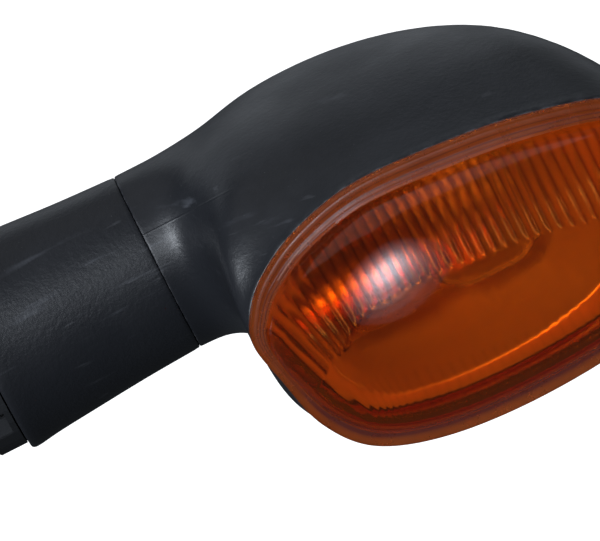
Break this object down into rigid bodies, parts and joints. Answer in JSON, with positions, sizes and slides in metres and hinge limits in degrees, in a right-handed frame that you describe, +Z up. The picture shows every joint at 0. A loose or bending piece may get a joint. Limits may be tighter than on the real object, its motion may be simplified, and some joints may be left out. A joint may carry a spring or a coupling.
{
  "type": "motorcycle turn signal indicator",
  "caption": "Turn signal on a short flexible rubber arm: a black shell swept forward from its neck, an amber domed lens and a bayonet lamp inside.",
  "frame": {"origin": "centre of the arm's flat mounting face", "axes": "+X outwards along the arm, -Y the way the lens faces, +Z up"},
  "size_m": [0.1338, 0.0745, 0.0593],
  "materials": {
    "housing_plastic": "moulded black plastic, satin, with a faint sheen",
    "foot_plastic": "moulded black plastic, matt",
    "arm_rubber": "moulded black rubber, worn to a soft sheen",
    "seal_rubber": "soft black seal",
    "lens_amber": "clear amber plastic, polished outside and fluted inside",
    "reflector_silver": "silvered plastic",
    "brass": "plain brass, dulled",
    "plated_steel": "zinc plated",
    "bulb_glass": "clear lamp glass",
    "black_glass": "black cap glass",
    "phenolic": "brown insulating board",
    "live_cover": "blue lead covering",
    "earth_cover": "brown lead covering",
    "filament_metal": "drawn tungsten",
    "solder": "solder bead"
  },
  "bodies": {
    "mount": {"mounting_foot": "foot_plastic", "threaded_insert": "brass", "cable_grommet": "seal_rubber", "rubber_arm": "arm_rubber", "live_lead": "live_cover", "earth_lead": "earth_cover"},
    "head": {"housing": "housing_plastic", "neck_plug": "foot_plastic", "neck_screw_upper": "plated_steel", "neck_screw_lower": "plated_steel", "lamp_bracket": "plated_steel", "earth_terminal": "brass", "holder_shell": "brass", "holder_insulator": "phenolic", "reflector": "reflector_silver", "lens_gasket": "seal_rubber"},
    "lens": {"lens": "lens_amber"},
    "lens_screw": {"lens_screw": "plated_steel", "screw_seal": "seal_rubber"},
    "plunger": {"contact_disc": "phenolic", "centre_contact": "brass", "contact_spring": "plated_steel"},
    "bulb": {"bulb_cap": "brass", "bulb_glass": "bulb_glass", "cap_insulator": "black_glass", "solder_contact": "solder", "glass_stem": "bulb_glass", "bayonet_pin_upper": "brass", "bayonet_pin_lower": "brass", "filament_post_front": "plated_steel", "filament_post_rear": "plated_steel", "filament": "filament_metal"}
  },
  "joints": [
    {"name": "arm_flex", "type": "hinge", "parent": "mount", "child": "head", "pos_m": [0.0235, 0, 0], "axis": [0, 0, 1], "range_deg": [-20, 20], "stiffness_Nm_per_rad": 4, "deforming": ["rubber_arm", "live_lead", "earth_lead"]},
    {"name": "lens_off", "type": "slide", "parent": "head", "child": "lens", "axis": [0, -1, 0], "range_m": [0, 0.05]},
    {"name": "lens_screw_out", "type": "slide", "parent": "lens", "child": "lens_screw", "axis": [0, -1, 0], "range_m": [0, 0.025]},
    {"name": "bulb_push", "type": "slide", "parent": "head", "child": "plunger", "axis": [-1, 0, 0], "range_m": [0, 0.0018], "stiffness_N_per_m": 3000, "springref_m": -0.001, "deforming": ["contact_spring"]},
    {"name": "bulb_turn", "type": "hinge", "parent": "plunger", "child": "bulb", "pos_m": [0.0754, -0.022, -0.012], "axis": [1, 0, 0], "range_deg": [0, 25]}
  ]
}
